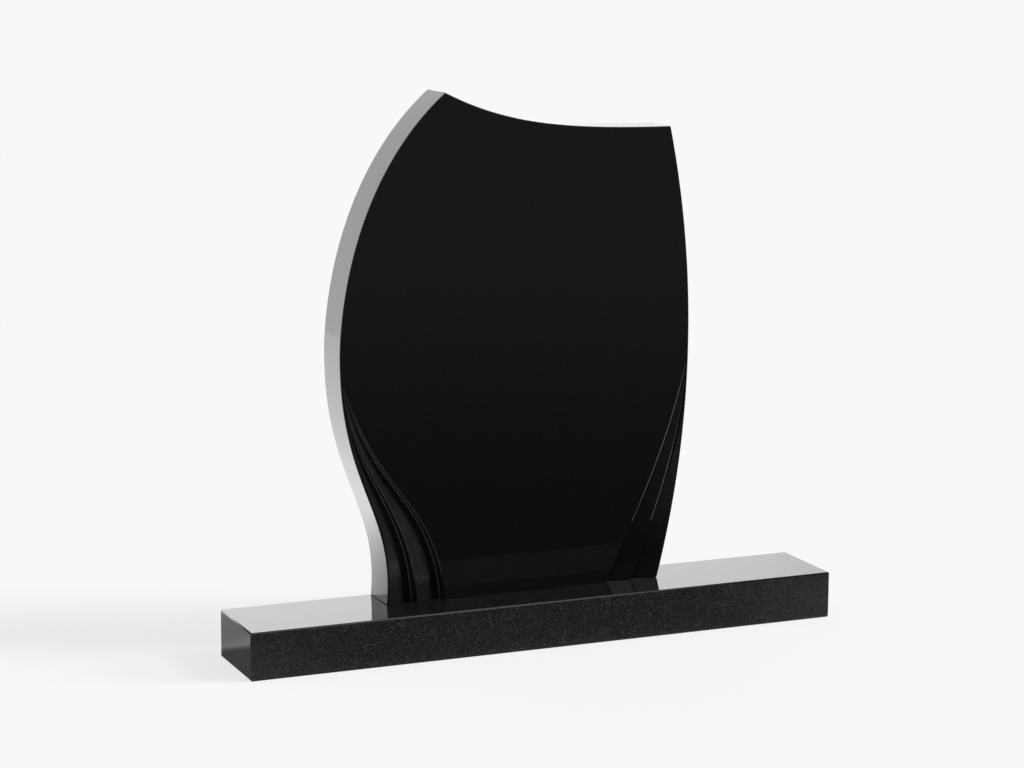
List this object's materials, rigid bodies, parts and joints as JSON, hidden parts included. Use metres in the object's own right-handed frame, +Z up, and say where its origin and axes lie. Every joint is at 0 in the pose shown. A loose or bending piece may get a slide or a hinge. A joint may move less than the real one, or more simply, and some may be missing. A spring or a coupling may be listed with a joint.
{
  "type": "inscription tablet",
  "caption": "Blank memorial tablet of polished black granite with a flowing lopsided outline and stepped carved bands at its foot, standing on a long low rectangular base.",
  "frame": {"origin": "middle of the base's underside, where the memorial stands", "axes": "+X along the base, to the right seen from the front; the tablet's face looks towards -Y; +Z up"},
  "size_m": [1, 0.15, 0.874],
  "materials": {
    "tablet_granite": "black granite, polished to a mirror on its faces and edges",
    "base_granite": "black granite, polished on its top and ends, finely honed on its front"
  },
  "bodies": {
    "root": {"tablet": "tablet_granite", "base": "base_granite"}
  },
  "joints": []
}
